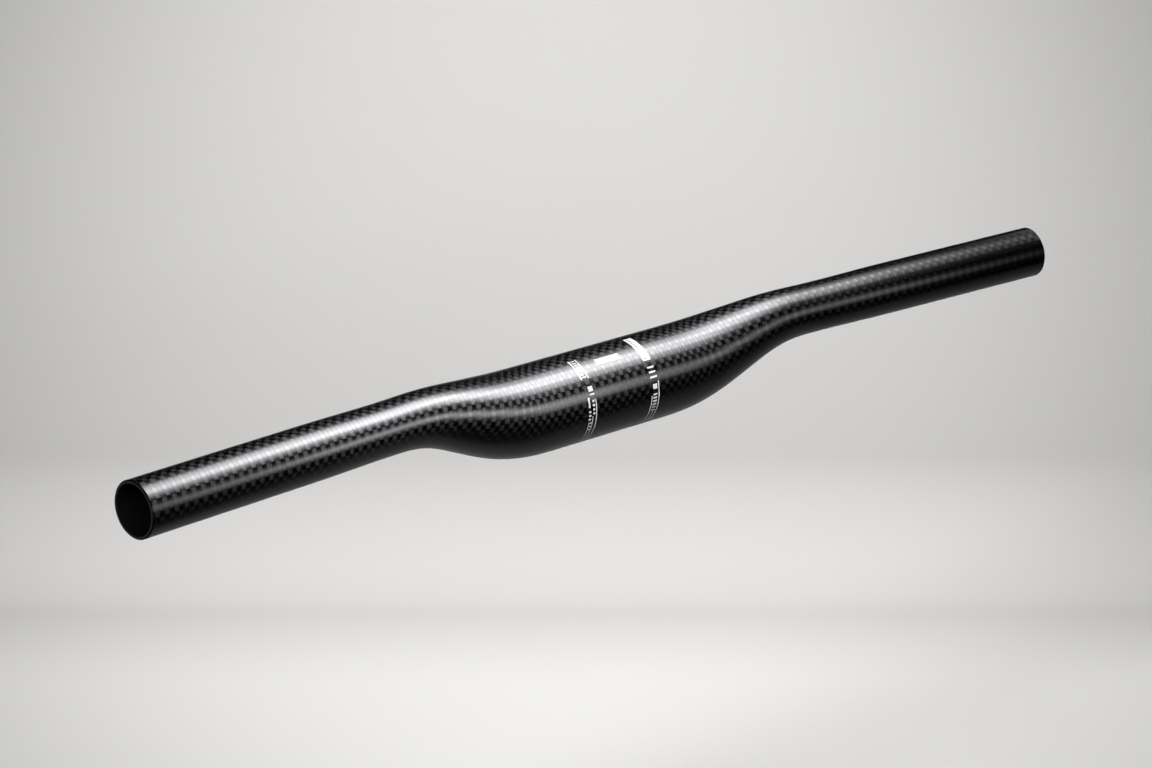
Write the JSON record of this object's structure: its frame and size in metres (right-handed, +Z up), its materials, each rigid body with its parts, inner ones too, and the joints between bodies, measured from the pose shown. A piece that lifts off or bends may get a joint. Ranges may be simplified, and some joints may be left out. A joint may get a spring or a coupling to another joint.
{
  "type": "bicycle handlebar",
  "caption": "Flat one-piece carbon handlebar with a thick clamp zone, a low rise, slightly swept arms and open tube ends.",
  "frame": {"origin": "middle of the clamp zone, on its axis", "axes": "+X along the clamp zone to the bar's right end as the rider sits, -Y towards the rider, +Z up"},
  "size_m": [0.4024, 0.0463, 0.0407],
  "materials": {
    "carbon": "satin clear coat over a plain carbon weave"
  },
  "bodies": {
    "root": {"handlebar": "carbon"}
  },
  "joints": []
}
